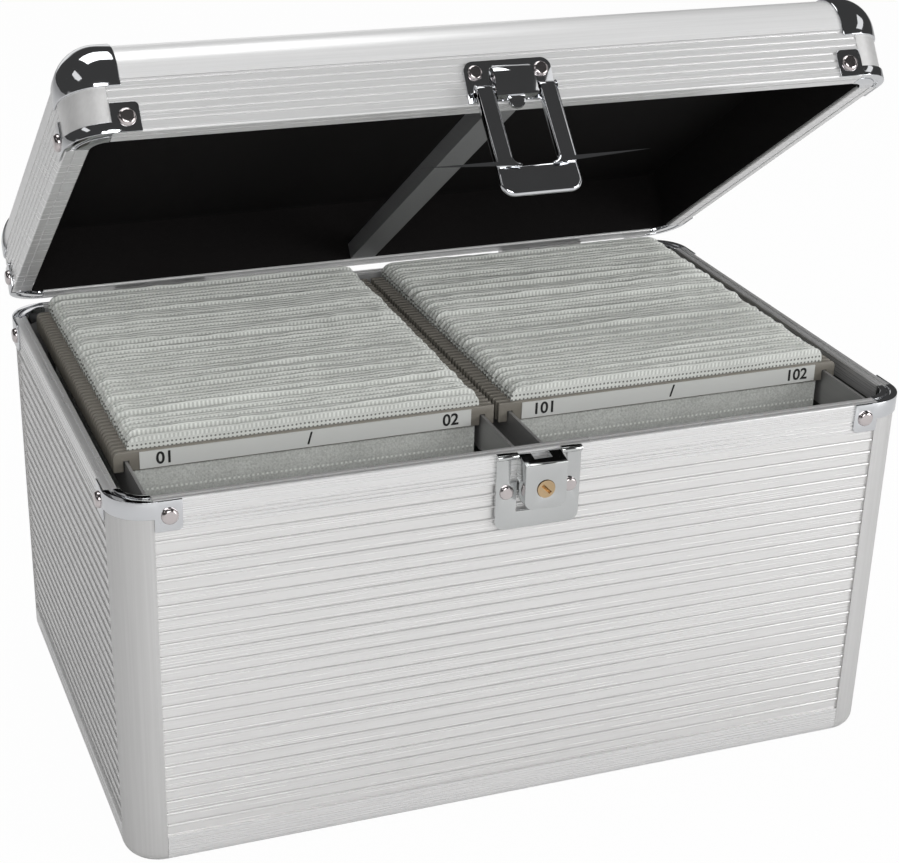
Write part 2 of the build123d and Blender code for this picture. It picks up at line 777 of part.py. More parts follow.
# Chromed ball corners that clasp the lid's top corners and the ends of the edge trims
with BuildPart() as ball_corners:
    for side in side_names:
        seam = straight_length(side) / 2
        next_seam = straight_length(next_side(side)) / 2
        for start, axis in ((wall_plane(side, seam, lid_bottom), corner_axis(side)),
                            (wall_plane(side, seam - ball_wrap, lid_bottom), None),
                            (wall_plane(next_side(side), -next_seam, lid_bottom), None)):
            with BuildSketch(start):
                edge_round(corner_radius + casting_wall, corner_radius)
                box_section(-casting_wall, 0, arc_height - ball_skirt, arc_height)
            if axis:
                revolve(axis=axis, revolution_arc=90)
            else:
                extrude(amount=ball_wrap)
save(ball_corners, "lid_ball_corners", on_lid=True)

# Ribbed top board of the lid
top_inset = corner_radius + board_play
top_board_z = lid_bottom + lid_height - lip_thickness
rib_field_depth = case_depth - 2 * (corner_radius + edge_lip_width) - 2 * rib_radius
top_rib_count = int(rib_field_depth / rib_pitch)
with BuildPart() as lid_top:
    with BuildSketch(Plane.XY.offset(top_board_z - lid_board_thickness)):
        Rectangle(case_width - 2 * top_inset, case_depth - 2 * top_inset)
    extrude(amount=lid_board_thickness)
    rib_field_width = case_width - 2 * (corner_radius + edge_lip_width + board_play)
    with BuildSketch(Plane.YZ.offset(-rib_field_width / 2)):
        with Locations((0, top_board_z - rib_radius + rib_proud)):
            with GridLocations(rib_pitch, 0, top_rib_count, 1):
                Circle(rib_radius)
    extrude(amount=rib_field_width)
save(lid_top, "lid_top_board", on_lid=True)

# Black lining of the lid: a sheet under the top board, and a band over the walls and round the corners
lid_lining_outer = lid_wall_thickness + 2 * board_play + edge_web_thickness
lid_lining_inner = lid_foot_width + lining_thickness
lid_lining_top = shelf_top - edge_trim_wall
with BuildPart() as lid_lining:
    with BuildSketch(Plane.XY.offset(lid_bottom + lid_lining_top - lining_thickness)):
        RectangleRounded(case_width - 2 * lid_lining_outer, case_depth - 2 * lid_lining_outer,
                         lid_lining_round)
    extrude(amount=lining_thickness)
    for side in side_names:
        half = straight_length(side) / 2
        with BuildSketch(wall_plane(side, -half, lid_bottom)):
            box_section(lid_wall_thickness, lid_foot_width, lid_inner_lip_height,
                        edge_trim_bottom - board_play)
            box_section(lid_foot_width, lid_lining_inner, lid_lining_hem, lid_lining_top)
        extrude(amount=2 * half)
        with BuildSketch(wall_plane(side, half, lid_bottom)):
            box_section(lid_foot_width, lid_lining_inner, lid_lining_hem, lid_lining_top)
        revolve(axis=corner_axis(side), revolution_arc=90)
save(lid_lining, "lid_lining", on_lid=True)

# Hold-down bar along the middle of the lid, between the linings of the front wall and the back wall
with BuildPart() as hold_down:
    with BuildSketch(Plane.XY.offset(lid_bottom + hold_down_lift)):
        Rectangle(hold_down_width, case_depth - 2 * (lid_lining_inner + board_play))
    extrude(amount=hold_down_height)
save(hold_down, "lid_hold_down_bar", on_lid=True)

# Latch plate: back plate, cover over the axle with its bore, and the locating tab under it
axle_z = lid_bottom + latch_axle_height


def latch_cover():
    """Raised cover, narrower towards its rounded top, whose front bends back to the plate."""
    with BuildPart() as cover:
        with BuildSketch(face_plane("front", lid_bottom, -latch_plate_thickness)) as outline:
            with BuildLine():
                Polyline((-latch_cover_width / 2, latch_cover_bottom),
                         (latch_cover_width / 2, latch_cover_bottom),
                         (latch_cover_crown / 2, latch_cover_top),
                         (-latch_cover_crown / 2, latch_cover_top), close=True)
            make_face()
            fillet(outline.vertices().group_by(Axis.Y)[-1], latch_cover_round)
        extrude(amount=latch_cover_depth - latch_plate_thickness)
        with BuildSketch(wall_plane("front", -latch_cover_width, lid_bottom)):
            with BuildLine():
                Polyline((-latch_plate_thickness, latch_cover_top),
                         (-latch_plate_thickness, latch_cover_bottom),
                         (-latch_cover_depth, latch_cover_bottom),
                         (-latch_cover_depth, latch_cover_shoulder))
                TangentArc((-latch_cover_depth, latch_cover_shoulder),
                           (-latch_plate_thickness, latch_cover_top), tangent=(0, 1))
            make_face()
        extrude(amount=2 * latch_cover_width, mode=Mode.INTERSECT)
    return cover.part


with BuildPart() as latch_plate:
    with BuildSketch(face_plane("front", lid_bottom)) as plate:
        box_section(-latch_plate_width / 2, latch_plate_width / 2, latch_plate_bottom, latch_plate_top)
        fillet(plate.vertices().group_by(Axis.Y)[-1], latch_plate_round)
        with Locations((0, latch_rivet_height)):
            with GridLocations(lock_rivet_span, 0, 2, 1):
                Circle(lock_rivet_shank, mode=Mode.SUBTRACT)
    extrude(amount=latch_plate_thickness)
    add(latch_cover())
    with BuildSketch(wall_plane("front", -latch_cover_width, axle_z)):
        with Locations((-latch_axle_reach, 0)):
            Circle(latch_axle_radius + hinge_pin_play)
    extrude(amount=2 * latch_cover_width, mode=Mode.SUBTRACT)
    with BuildSketch(face_plane("front", lid_bottom, -locating_tab_reach)) as tab:
        box_section(-locating_tab_width / 2, locating_tab_width / 2, -locating_tab_bottom,
                    latch_axle_height - latch_axle_radius - lock_play)
        fillet(tab.vertices().group_by(Axis.Y)[0], locating_tab_width / 2 - board_play)
    extrude(amount=locating_tab_thickness)
save(latch_plate, "latch_plate", on_lid=True)

# Axle of the latch loop, through the cover and into both arms
arm_inner = latch_cover_width / 2 + lock_play
axle_length = loop_width - 2 * lock_play
with BuildPart() as latch_axle:
    with BuildSketch(wall_plane("front", -axle_length / 2, axle_z)):
        with Locations((-latch_axle_reach, 0)):
            Circle(latch_axle_radius)
    extrude(amount=axle_length)
save(latch_axle, "latch_axle", on_lid=True)

# Latch loop: two rounded arms and a flat lower plate round a window.
# Unlatched, it stands far enough off the closed position to pass the front of the lock body.
with BuildPart() as latch_loop:
    with BuildSketch(face_plane("front", lid_bottom, -loop_back)) as outline:
        box_section(-loop_width / 2, loop_width / 2, -loop_bottom, latch_axle_height)
        fillet(outline.vertices().group_by(Axis.Y)[0], loop_round)
    extrude(amount=loop_plate_depth)
    with BuildSketch(face_plane("front", lid_bottom, -loop_back)):
        box_section(-loop_width / 2, loop_width / 2, -loop_window_bottom, latch_axle_height)
    extrude(amount=loop_arm_depth)
    with BuildSketch(wall_plane("front", -loop_width / 2, axle_z)):
        with Locations((-latch_axle_reach, 0)):
            Circle(loop_arm_depth / 2)
    extrude(amount=loop_width)
    with BuildSketch(face_plane("front", lid_bottom)) as window:
        box_section(-arm_inner, arm_inner, -loop_window_bottom, latch_axle_height + loop_arm_depth)
        fillet(window.vertices().group_by(Axis.Y)[0], loop_window_round)
    extrude(amount=lock_body_depth, mode=Mode.SUBTRACT)
    with BuildSketch(wall_plane("front", -loop_width, axle_z)):
        with Locations((-latch_axle_reach, 0)):
            Circle(latch_axle_radius + hinge_pin_play)
    extrude(amount=2 * loop_width, mode=Mode.SUBTRACT)
loop_axis = Axis((0, front_face - latch_axle_reach, axle_z), (-1, 0, 0))
latch_loop.part = latch_loop.part.rotate(loop_axis, loop_stand_off)
save(latch_loop, "latch_loop", on_lid=True)


# Hinges: base leaves with two knuckles each, lid leaves with one, and a pin through them
knuckle_length = (hinge_length - 2 * hinge_knuckle_gap) / 3


def hinge_leaves(direction, knuckle_places):
    """Leaves of both hinges. Direction is -1 for the leaf below the pin and +1 for the one above it."""
    leaf_near = direction * (hinge_radius + hinge_clear)
    leaf_far = direction * hinge_leaf_height
    pin_inward = -hinge_radius - hinge_clear
    neck_outside = -hinge_clear - hinge_leaf_thickness
    with BuildPart() as leaves:
        for middle in (-hinge_span / 2, hinge_span / 2):
            with BuildSketch(face_plane("back", hinge_z)):
                box_section(middle - hinge_length / 2, middle + hinge_length / 2,
                            *sorted((leaf_near, leaf_far)))
                with Locations((middle, direction * hinge_rivet_drop)):
                    with GridLocations(hinge_rivet_span, 0, 2, 1):
                        Circle(hinge_rivet_shank, mode=Mode.SUBTRACT)
            extrude(amount=hinge_leaf_thickness)
            for place in knuckle_places:
                knuckle_middle = middle + place * (knuckle_length + hinge_knuckle_gap)
                with BuildSketch(wall_plane("back", knuckle_middle - knuckle_length / 2, hinge_z)):
                    with Locations((pin_inward, 0)):
                        Circle(hinge_radius)
                    box_section(neck_outside, -hinge_clear, *sorted((0, leaf_near)))
                    box_section(neck_outside, 0, *upright(leaf_near, direction, hinge_leaf_thickness))
                    with Locations((pin_inward, 0)):
                        Circle(hinge_pin_radius + hinge_pin_play, mode=Mode.SUBTRACT)
                extrude(amount=knuckle_length)
    return leaves


save(hinge_leaves(-1, (-1, 1)), "base_hinge_leaves")
save(hinge_leaves(1, (0,)), "lid_hinge_leaves", on_lid=True)
with BuildPart() as hinge_pins:
    for hinge in (-1, 1):
        with BuildSketch(Plane.YZ.offset(hinge * hinge_span / 2 - hinge_length / 2)):
            with Locations((hinge_y, hinge_z)):
                Circle(hinge_pin_radius)
        extrude(amount=hinge_length)
save(hinge_pins, "hinge_pins")


# Carrying handle on top of the lid: two brackets, a bent bow folded to the front, and its grip
bracket_base = top_board_z + rib_proud
handle_z = bracket_base + handle_height
bracket_start = handle_span / 2 + handle_bend + handle_play
with BuildPart() as handle_brackets:
    for end in (-1, 1):
        bracket_x = end * bracket_start + (end - 1) * handle_bracket_length / 2
        with BuildSketch(Plane.YZ.offset(bracket_x)):
            box_section(-handle_bracket_width / 2, handle_bracket_width / 2, bracket_base, handle_z)
            with Locations((0, handle_z)):
                Circle(handle_bar_radius + handle_eye_wall)
                Circle(handle_bar_radius + hinge_pin_play, mode=Mode.SUBTRACT)
        extrude(amount=handle_bracket_length)
save(handle_brackets, "handle_brackets", on_lid=True)
with BuildPart() as handle_bow:
    pin_end = bracket_start + handle_bracket_length
    with BuildLine(Plane.XY.offset(handle_z)) as bow_path:
        FilletPolyline((-pin_end, 0), (-handle_span / 2, 0), (-handle_span / 2, -handle_reach),
                       (handle_span / 2, -handle_reach), (handle_span / 2, 0), (pin_end, 0),
                       radius=handle_bend)
    with BuildSketch(Plane(origin=(-pin_end, 0, handle_z), z_dir=(1, 0, 0))):
        Circle(handle_bar_radius)
    sweep(path=bow_path.line)
save(handle_bow, "handle_bow", on_lid=True)
with BuildPart() as handle_grip:
    with BuildSketch(Plane.YZ.offset(-handle_grip_length / 2)):
        with Locations((-handle_reach, handle_z)):
            RectangleRounded(handle_grip_width, handle_grip_height, handle_grip_height / 2 - board_play)
            Circle(handle_bar_radius, mode=Mode.SUBTRACT)
    extrude(amount=handle_grip_length)
save(handle_grip, "handle_grip", on_lid=True)
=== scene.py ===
# %% [markdown]
# The object is a storage case with an aluminium frame, chromed corners, a hinged lid and two rows of
# hanging disc sleeves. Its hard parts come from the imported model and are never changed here.
# This cell loads them. Soft parts and a few rounded metal parts get pieces of their own further down.

# %% Load the frame
import json
import math
import random

import bpy
from mathutils import Euler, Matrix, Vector


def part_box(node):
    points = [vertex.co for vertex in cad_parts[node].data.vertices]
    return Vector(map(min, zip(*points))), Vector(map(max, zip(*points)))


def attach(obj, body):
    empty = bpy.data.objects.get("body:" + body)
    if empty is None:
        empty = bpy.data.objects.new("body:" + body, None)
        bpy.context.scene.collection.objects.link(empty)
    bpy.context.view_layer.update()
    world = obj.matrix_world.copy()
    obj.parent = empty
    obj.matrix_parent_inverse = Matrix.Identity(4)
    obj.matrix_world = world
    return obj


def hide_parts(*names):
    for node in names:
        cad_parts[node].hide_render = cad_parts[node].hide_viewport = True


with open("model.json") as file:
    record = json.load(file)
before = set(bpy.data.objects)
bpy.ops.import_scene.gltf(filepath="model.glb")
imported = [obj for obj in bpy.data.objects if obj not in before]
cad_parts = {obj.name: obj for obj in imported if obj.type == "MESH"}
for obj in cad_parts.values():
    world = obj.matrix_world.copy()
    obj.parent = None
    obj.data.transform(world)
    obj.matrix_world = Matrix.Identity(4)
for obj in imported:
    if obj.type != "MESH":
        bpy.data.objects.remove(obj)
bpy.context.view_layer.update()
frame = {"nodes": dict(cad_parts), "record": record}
nodes = frame["nodes"]
mm = 0.001

# %% [markdown]
# The camera stands where the photograph was taken from: in front of the case, to its left and above it.
# Its place and lens were worked out from the corners of the case. The picture is a part of a larger frame,
# so the lens is shifted a little instead of the camera being turned.

# %% Camera
picture_width, picture_height = 899, 863
focal_pixels = 1958.6
centre_x, centre_y = 405.0, 512.0
camera_angles = (63.667, -1.016, -19.989)
camera_data = bpy.data.cameras.new("photo_camera")
camera_data.sensor_width = 36
camera_data.lens = focal_pixels / picture_width * camera_data.sensor_width
camera_data.shift_x = (picture_width / 2 - centre_x) / picture_width
camera_data.shift_y = (centre_y - picture_height / 2) / picture_width
camera_data.clip_start = 0.05
camera = bpy.data.objects.new("photo_camera", camera_data)
camera.location = (-0.28576, -0.72746, 0.46801)
camera.rotation_euler = Euler([math.radians(angle) for angle in camera_angles])
bpy.context.collection.objects.link(camera)
bpy.context.scene.camera = camera
print("lens:", round(camera_data.lens, 1), "mm, shift:", round(camera_data.shift_x, 4),
      round(camera_data.shift_y, 4))

# %% [markdown]
# A finish is built from nodes, and three small helpers keep that short. The first is a wire: one socket, on
# which ordinary arithmetic adds Math nodes, so that a sum on the page is a sum in the material.


# %% Wires
class Wire:
    """One socket of a node graph. Arithmetic on it adds Math nodes."""

    def __init__(self, graph, socket):
        self.graph, self.socket = graph, socket

    def math(self, operation, *values):
        return self.graph.node("ShaderNodeMath", {"operation": operation}, list(values))

    def __add__(self, other):
        return self.math("ADD", self, other)

    def __sub__(self, other):
        return self.math("SUBTRACT", self, other)

    def __rsub__(self, other):
        return self.math("SUBTRACT", other, self)

    def __mul__(self, other):
        return self.math("MULTIPLY", self, other)

    def __truediv__(self, other):
        return self.math("DIVIDE", self, other)

    def __gt__(self, other):
        return self.math("GREATER_THAN", self, other)

    def __lt__(self, other):
        return self.math("LESS_THAN", self, other)

    __radd__ = __add__
    __rmul__ = __mul__

    def sine(self):
        return self.math("SINE", self)

    def clamped(self):
        return self.graph.node("ShaderNodeClamp", {}, {"Value": self}, "Result")

    def between(self, low, high):
        """1 where the value lies between the two, otherwise 0."""
        return (self > low) * (self < high)

    def ramp(self, low, high):
        """0 at low and below, 1 at high and above, and a soft step between them."""
        return self.graph.node("ShaderNodeMapRange", {"interpolation_type": "SMOOTHSTEP"},
                               {"Value": self, "From Min": low, "From Max": high})


print("wires ready")

# %% [markdown]
# The second helper is a graph: a node tree with a single method that adds any other node. The third is a
# finish: a graph round one Principled shader. Its patterns read Object coordinates, so that they stay on a
# piece when the piece moves.


# %% Graphs and finishes
class Graph:
    """A node tree, with one method that adds any node."""

    def __init__(self, tree):
        self.tree = tree

    def node(self, kind, settings=None, values=None, output=0):
        made = self.tree.nodes.new(kind)
        for key, value in (settings or {}).items():
            setattr(made, key, value)
        named = values.items() if isinstance(values, dict) else enumerate(values or [])
        for key, value in named:
            self.put(made.inputs[key], value)
        return Wire(self, made.outputs[output])

    def put(self, socket, value):
        if isinstance(value, Wire):
            self.tree.links.new(value.socket, socket)
        else:
            socket.default_value = value

    def mix(self, factor, low, high):
        """Colour between two colours."""
        return self.node("ShaderNodeMix", {"data_type": "RGBA"}, {0: factor, 6: low, 7: high}, 2)


class Finish(Graph):
    """One material round a Principled shader, whose fixed numbers are set on its own sockets."""

    def __init__(self, name, **fixed):
        self.material = bpy.data.materials.new(name)
        self.material.use_nodes = True
        super().__init__(self.material.node_tree)
        self.shader = self.tree.nodes["Principled BSDF"]
        for socket, value in fixed.items():
            self.shader.inputs[socket.replace("_", " ")].default_value = value

    def drive(self, socket, value):
        self.put(self.shader.inputs[socket], value)

    def place(self, turn=(0, 0, 0), stretch=(1, 1, 1)):
        """Object coordinates, turned and stretched."""
        raw = self.node("ShaderNodeTexCoord", {}, {}, "Object")
        return self.node("ShaderNodeMapping", {"vector_type": "POINT"},
                         {"Vector": raw, "Rotation": turn, "Scale": stretch})

    def noise(self, stretch, detail=2.0, turn=(0, 0, 0)):
        """Noise with a grain of about 1 / stretch metres in each direction."""
        return self.node("ShaderNodeTexNoise", {},
                         {"Vector": self.place(turn, stretch), "Scale": 1.0, "Detail": detail}, "Fac")

    def bump(self, height, strength, distance):
        values = {"Height": height, "Strength": strength, "Distance": distance}
        made = self.node("ShaderNodeBump", {}, values, "Normal")
        self.drive("Normal", made)


def grey(level, warm=0.0):
    return (level + warm, level, level - warm, 1)


def shades(colour, change):
    """A darker and a lighter version of a colour."""
    dark = tuple(c * (1 - change) for c in colour)
    light = tuple(min(1, c * (1 + change)) for c in colour)
    return dark + (1,), light + (1,)


print("finishes ready to be made")

# %% [markdown]
# Everything metal on this case is anodised or brushed aluminium, except the chromed corners and the lock.
# Brushed metal is a noise that is stretched a long way in the direction of brushing, used faintly in the
# colour and in the roughness. On the lid the grain has to lie along the lid, so its coordinates are turned.

# %% Brushed aluminium
lid_opening = 34.7
lid_turn = (math.radians(lid_opening), 0, 0)


def brushed(name, level, warm, roughness, stretch, turn=(0, 0, 0), change=0.022, metallic=0.55):
    finish = Finish(name, Metallic=metallic, IOR=1.45)
    grain = finish.noise(stretch, 3.0, turn)
    cloud = finish.noise((4, 4, 4), 1.0, turn)
    tone = grain * 0.85 + cloud * 0.15
    low, high = grey(level - change, warm), grey(level + change, warm)
    finish.drive("Base Color", finish.mix(tone.ramp(0.3, 0.7), low, high))
    finish.drive("Roughness", roughness + (grain - 0.5) * 0.10)
    finish.bump(grain, 0.10, 0.00004)
    return finish.material


wall_grain = (12, 12, 2200)
post_grain = (900, 900, 12)
rail_grain = (2000, 20, 2000)
finishes = {
    "ribbed_board": brushed("ribbed_board_finish", 0.76, 0.005, 0.26, wall_grain),
    "top_board": brushed("top_board_finish", 0.74, 0.002, 0.34, (12, 2200, 12), lid_turn),
    "satin_aluminium": brushed("satin_trim_finish", 0.74, 0.002, 0.28, wall_grain, metallic=0.50),
    # The lid's trim and posts here are set lighter than the body's, and its hold-downs darker than the rail:
    # painted light and painted shade on the open lid.
    "lid_trim": brushed("lid_trim_painted_lighter_finish", 0.84, 0.0, 0.30, wall_grain, lid_turn, metallic=0.30),
    "lined_aluminium": brushed("lined_wall_finish", 0.78, 0.0, 0.26, wall_grain, lid_turn, metallic=0.40),
    "post_aluminium": brushed("post_finish", 0.60, 0.004, 0.40, post_grain),
    "lid_post": brushed("lid_post_painted_lighter_finish", 0.84, 0.004, 0.40, post_grain, lid_turn),
    "rail_aluminium": brushed("rail_finish", 0.40, 0.002, 0.42, rail_grain),
    "hold_down": brushed("hold_down_painted_darker_finish", 0.30, -0.004, 0.45, rail_grain, lid_turn, 0.02),
}
print("brushed finishes:", sorted(finishes))

# %% [markdown]
# Chrome is almost a mirror. What makes it read as chrome is a sharp picture of dark and light surroundings,
# so its colour stays plain and a little dark, with only faint clouds, and fine scuffs change its roughness.


# %% Chrome, rivet steel and brass
def polished(name, colour, roughness, change):
    finish = Finish(name, Metallic=1.0)
    cloud = finish.noise((60, 60, 60), 4.0)
    scuff = finish.noise((900, 900, 900))
    dark, light = shades(colour, change)
    finish.drive("Base Color", finish.mix(cloud, dark, light))
    finish.drive("Roughness", roughness + (cloud * 0.6 + scuff * 0.4 - 0.5) * roughness)
    return finish.material


finishes["chrome"] = polished("chrome_finish", (0.68, 0.69, 0.71), 0.06, 0.06)
finishes["lock_chrome"] = polished("lock_face_finish", (0.58, 0.59, 0.59), 0.12, 0.05)
finishes["rivet_steel"] = polished("rivet_finish", (0.62, 0.57, 0.57), 0.16, 0.15)
finishes["brass"] = polished("brass_finish", (0.55, 0.40, 0.24), 0.24, 0.25)
print("polished finishes ready")

# %% [markdown]
# The bars of the sleeves, the labels and the handle grip are plastic and card. Moulded plastic has a soft
# grain. Card is nearly flat, with faint fibres.


# %% Plastic and card
def moulded(name, colour, roughness, change, grain_size, depth):
    finish = Finish(name, IOR=1.46)
    step = 1 / grain_size
    grain = finish.noise((step, step, step), 3.0)
    cloud = finish.noise((40, 40, 40))
    finish.drive("Base Color", finish.mix(cloud * 0.7 + grain * 0.3, *shades(colour, change)))
    finish.drive("Roughness", roughness + (grain - 0.5) * 0.15)
    finish.bump(grain, 0.3, depth)
    return finish.material


finishes["bar_plastic"] = moulded("bar_finish", (0.215, 0.200, 0.172), 0.42, 0.15, 0.0006, 0.00005)
finishes["label_card"] = moulded("label_finish", (0.62, 0.63, 0.61), 0.45, 0.03, 0.0004, 0.00002)
finishes["black_plastic"] = moulded("grip_finish", (0.020, 0.020, 0.021), 0.40, 0.25, 0.0005, 0.00006)
finishes["number_ink"] = moulded("number_finish", (0.012, 0.012, 0.012), 0.55, 0.30, 0.0003, 0.00001)
print("plastic finishes ready")

# %% [markdown]
# The lid is lined with black flocked cloth and the body with grey felt. Both are short fibres seen from a
# distance: a fine noise in the colour and the bump, and a broad one where the cloth has been brushed.


# %% Linings
def felt(name, colour, change):
    finish = Finish(name, Roughness=0.95, IOR=1.3)
    fibre = finish.noise((1400, 1400, 1400), 3.0)
    brushed_way = finish.noise((30, 30, 30), 3.0)
    finish.drive("Base Color", finish.mix(fibre * 0.6 + brushed_way * 0.4, *shades(colour, change)))
    finish.bump(fibre, 0.6, 0.0003)
    return finish.material


finishes["black_lining"] = felt("black_flock_finish", (0.0048, 0.0040, 0.0040), 0.5)
finishes["grey_lining"] = felt("grey_felt_finish", (0.170, 0.172, 0.165), 0.25)
print("lining finishes ready")

# %% [markdown]
# The pockets are a thin white non-woven cloth over clear film. The hem at the top of a flap is welded with
# short upright ribs, and below it the cloth is embossed with rows of dots. The colour is darker in the gaps
# between the ribs and in the dots, which is partly the cloth's own pattern and partly painted shade of the
# relief. A single row of stitches crosses the film. All are laid out in the sheet's own coordinates,
# millimetres across and millimetres below the top edge, so they follow a flap as it leans. One unit of
# those coordinates is 100 mm.

# %% Pocket cloth
pocket = Finish("pocket_finish", Roughness=0.38, IOR=1.45)
sheet_place = pocket.node("ShaderNodeTexCoord", {}, {}, "UV")
sheet_unit = 100
across = pocket.node("ShaderNodeSeparateXYZ", {}, {"Vector": sheet_place}, "X") * sheet_unit
below_top = pocket.node("ShaderNodeSeparateXYZ", {}, {"Vector": sheet_place}, "Y") * sheet_unit
fuzz = pocket.noise((1500, 1500, 1500))
cloth_cloud = pocket.noise((60, 60, 60))
wander = (cloth_cloud - 0.5) * 1.6
rib_pitch, row_pitch = 1.7, 1.9
full_turn = 2 * math.pi
rib_waves = (across * (full_turn / rib_pitch) + wander).sine() * 0.5 + 0.5
row_waves = (below_top * (full_turn / row_pitch) + wander).sine() * 0.5 + 0.5
hem_end, cloth_end, stitch_row = (2.6, 3.0), (9.6, 10.4), (23.4, 24.3)
on_hem = 1 - below_top.ramp(*hem_end)
on_film = below_top.ramp(*cloth_end)
# Painted shade, in part: the gaps between the hem's ribs and the embossed dots are darker in colour.
hem_rib_tone_and_shade = 0.78 + (rib_waves - 0.5) * 0.42 * below_top.ramp(0.5, 0.9)
dot_tone_and_shade = 0.74 - (rib_waves * row_waves).ramp(0.35, 0.75) * 0.70
stitch = below_top.between(*stitch_row) * (across * (full_turn / row_pitch)).sine().ramp(-0.2, 0.4)
film_tone = 0.60 + (fuzz - 0.5) * 0.4 + stitch * 0.4
cloth_tone = hem_rib_tone_and_shade * on_hem + dot_tone_and_shade * (1 - on_hem)
tone = cloth_tone * (1 - on_film) + film_tone * on_film + (fuzz - 0.5) * 0.25 + (cloth_cloud - 0.5) * 0.2
pocket.drive("Base Color", pocket.mix(tone.clamped(), (0.15, 0.155, 0.145, 1), (0.90, 0.92, 0.88, 1)))
pocket.bump(cloth_tone + fuzz * 0.3, 0.4, 0.0003)
finishes["pocket_fabric"] = pocket.material
print("pocket finish ready")

# %% [markdown]
# Each node of the frame names a material slot. The finish of that slot goes on it here. The lid's metal
# gets the finishes whose grain lies along the lid, the lock a chrome that is a little duller than the
# corners', and the hinges the satin finish of the trims. The lid's trim and posts are also set lighter,
# and its hold-downs darker, than the same metals on the body: painted light and painted shade for how
# the light falls on the open lid.

# %% Finishes on the frame
on_lid = {"satin_aluminium": "lid_trim", "post_aluminium": "lid_post", "ribbed_board": "top_board",
          "rail_aluminium": "hold_down"}
slots_of = {part["node"]: part["material_slot"] for part in frame["record"]["subparts"]}
for name, node in nodes.items():
    slot = slots_of[name]
    if name.startswith("lid_") and slot in on_lid:
        slot = on_lid[slot]
    if name in ("lock_plate", "lock_body"):
        slot = "lock_chrome"
    if "hinge" in name:
        slot = "satin_aluminium"
    node.data.materials.clear()
    node.data.materials.append(finishes[slot])
print("nodes dressed:", len(nodes))

# %% [markdown]
# The next helpers are for modelling as by hand. An operator works on everything that is selected, so all is
# deselected before a primitive is added, and faces or edges are then picked in code by where they are.


# %% Modelling helpers
def deselect():
    if bpy.context.object and bpy.context.object.mode != "OBJECT":
        bpy.ops.object.mode_set(mode="OBJECT")
    bpy.ops.object.select_all(action="DESELECT")


def only(piece):
    deselect()
    piece.select_set(True)
    bpy.context.view_layer.objects.active = piece


def apply_all(piece):
    only(piece)
    for modifier in list(piece.modifiers):
        bpy.ops.object.modifier_apply(modifier=modifier.name)


def settle(piece):
    """Put the piece's place into its mesh, so that its object is at the origin."""
    only(piece)
    bpy.ops.object.transform_apply(location=True, rotation=True, scale=True)


print("modelling helpers ready")

# %% [markdown]
# Many pieces further down are a frame node again, only with softer edges. The copy is joined up from loose
# triangles first, and its flat faces are made whole, so that a Bevel modifier finds real edges and no seams.
# Clamp keeps two rounds that meet from running past each other.

# %% Rounded copies
sharp_edge = 28


def rounded_copy(name, source, width, segments=2, tabs=(), clamp=True):
    """A copy of a frame node with its edges rounded, which is shown in place of that node.
    Tabs are corners that get a larger round first: their height, their x and their radius."""
    deselect()
    copy = nodes[source].copy()
    copy.data = nodes[source].data.copy()
    copy.name = copy.data.name = name
    copy.parent = None
    for key in list(copy.keys()):
        del copy[key]
    bpy.context.collection.objects.link(copy)
    only(copy)
    bpy.ops.object.mode_set(mode="EDIT")
    bpy.ops.mesh.select_all(action="SELECT")
    bpy.ops.mesh.remove_doubles(threshold=0.000002)
    bpy.ops.mesh.dissolve_limited(angle_limit=math.radians(1))
    bpy.ops.object.mode_set(mode="OBJECT")
    for level, reach, radius in tabs:
        bpy.ops.object.mode_set(mode="EDIT")
        bpy.ops.mesh.select_all(action="DESELECT")
        bpy.ops.object.mode_set(mode="OBJECT")
        points = copy.data.vertices
        for edge in copy.data.edges:
            ends = [points[index].co for index in edge.vertices]
            edge.select = all(abs(end.z - level) + abs(end.x - reach) < 0.05 * mm for end in ends)
        bpy.ops.object.mode_set(mode="EDIT")
        bpy.ops.mesh.select_mode(type="EDGE")
        bpy.ops.mesh.bevel(offset=radius, segments=4, affect="EDGES")
        bpy.ops.object.mode_set(mode="OBJECT")
    bevel = copy.modifiers.new("round", "BEVEL")
    bevel.width = width
    bevel.segments = segments
    bevel.limit_method = "ANGLE"
    bevel.angle_limit = math.radians(sharp_edge)
    bevel.use_clamp_overlap = clamp
    apply_all(copy)
    bpy.ops.object.shade_smooth_by_angle(angle=math.radians(40))
    return copy


def stand_for(piece, body, slot, *sources):
    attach(piece, body)
    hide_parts(*sources)
    print(piece.name, "faces:", len(piece.data.polygons))


print("edges sharper than", sharp_edge, "degrees get rounded")

# %% [markdown]
# The pockets of the sleeves are soft. Each has a flap that stands above its bar, with rounded corners, and
# no two lean quite alike. One flap is modelled as an upright sheet: a flat grid that is stretched and stood
# up, with its rows of points moved to the heights where the shape changes and its columns drawn together
# towards both ends, where the corners need them.

# %% Pocket shape
row_middle = 78.25 * mm
flap_low, flap_high, flap_half = 158.0 * mm, 166.5 * mm, 71.4 * mm
bag_low, bag_half = 28.5 * mm, 69.85 * mm
corner = 5.0 * mm
sheet_levels = [bag_low, 90 * mm, 140 * mm, 155 * mm, flap_low, flap_low + 2.0 * mm, flap_low + 3.7 * mm,
                flap_low + 5.2 * mm, flap_low + 6.5 * mm, flap_low + 7.6 * mm, flap_high]


